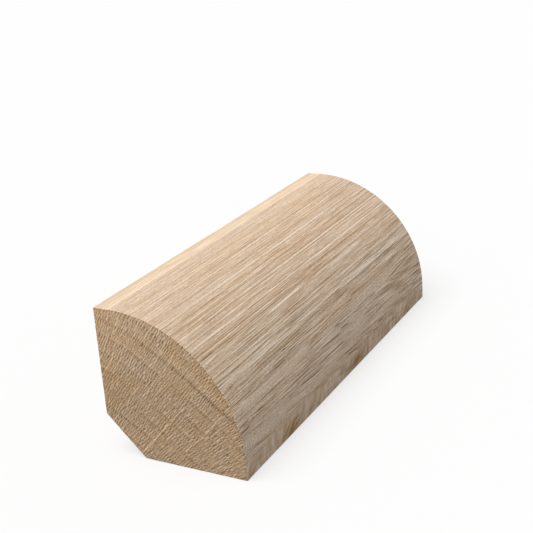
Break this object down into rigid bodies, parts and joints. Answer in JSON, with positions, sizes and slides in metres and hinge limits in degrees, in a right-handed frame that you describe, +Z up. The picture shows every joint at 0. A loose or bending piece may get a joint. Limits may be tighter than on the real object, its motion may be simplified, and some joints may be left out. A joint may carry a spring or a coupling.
{
  "type": "quarter round moulding",
  "caption": "Quarter round moulding of pale unfinished oak: square section with a rounded face, narrow flats beside it and a chamfered heel, to cover the joint between floor and wall.",
  "frame": {"origin": "middle of the bottom of the bounding box", "axes": "+Z up, +Y along the moulding's length, -X towards the wall that it is fixed to, so the round faces +X and +Z"},
  "size_m": [0.019, 0.058, 0.019],
  "materials": {
    "oak": "planed, unfinished pale oak with fine open grain; sawn end grain a little darker"
  },
  "bodies": {
    "root": {"quarter_round_moulding": "oak"}
  },
  "joints": []
}
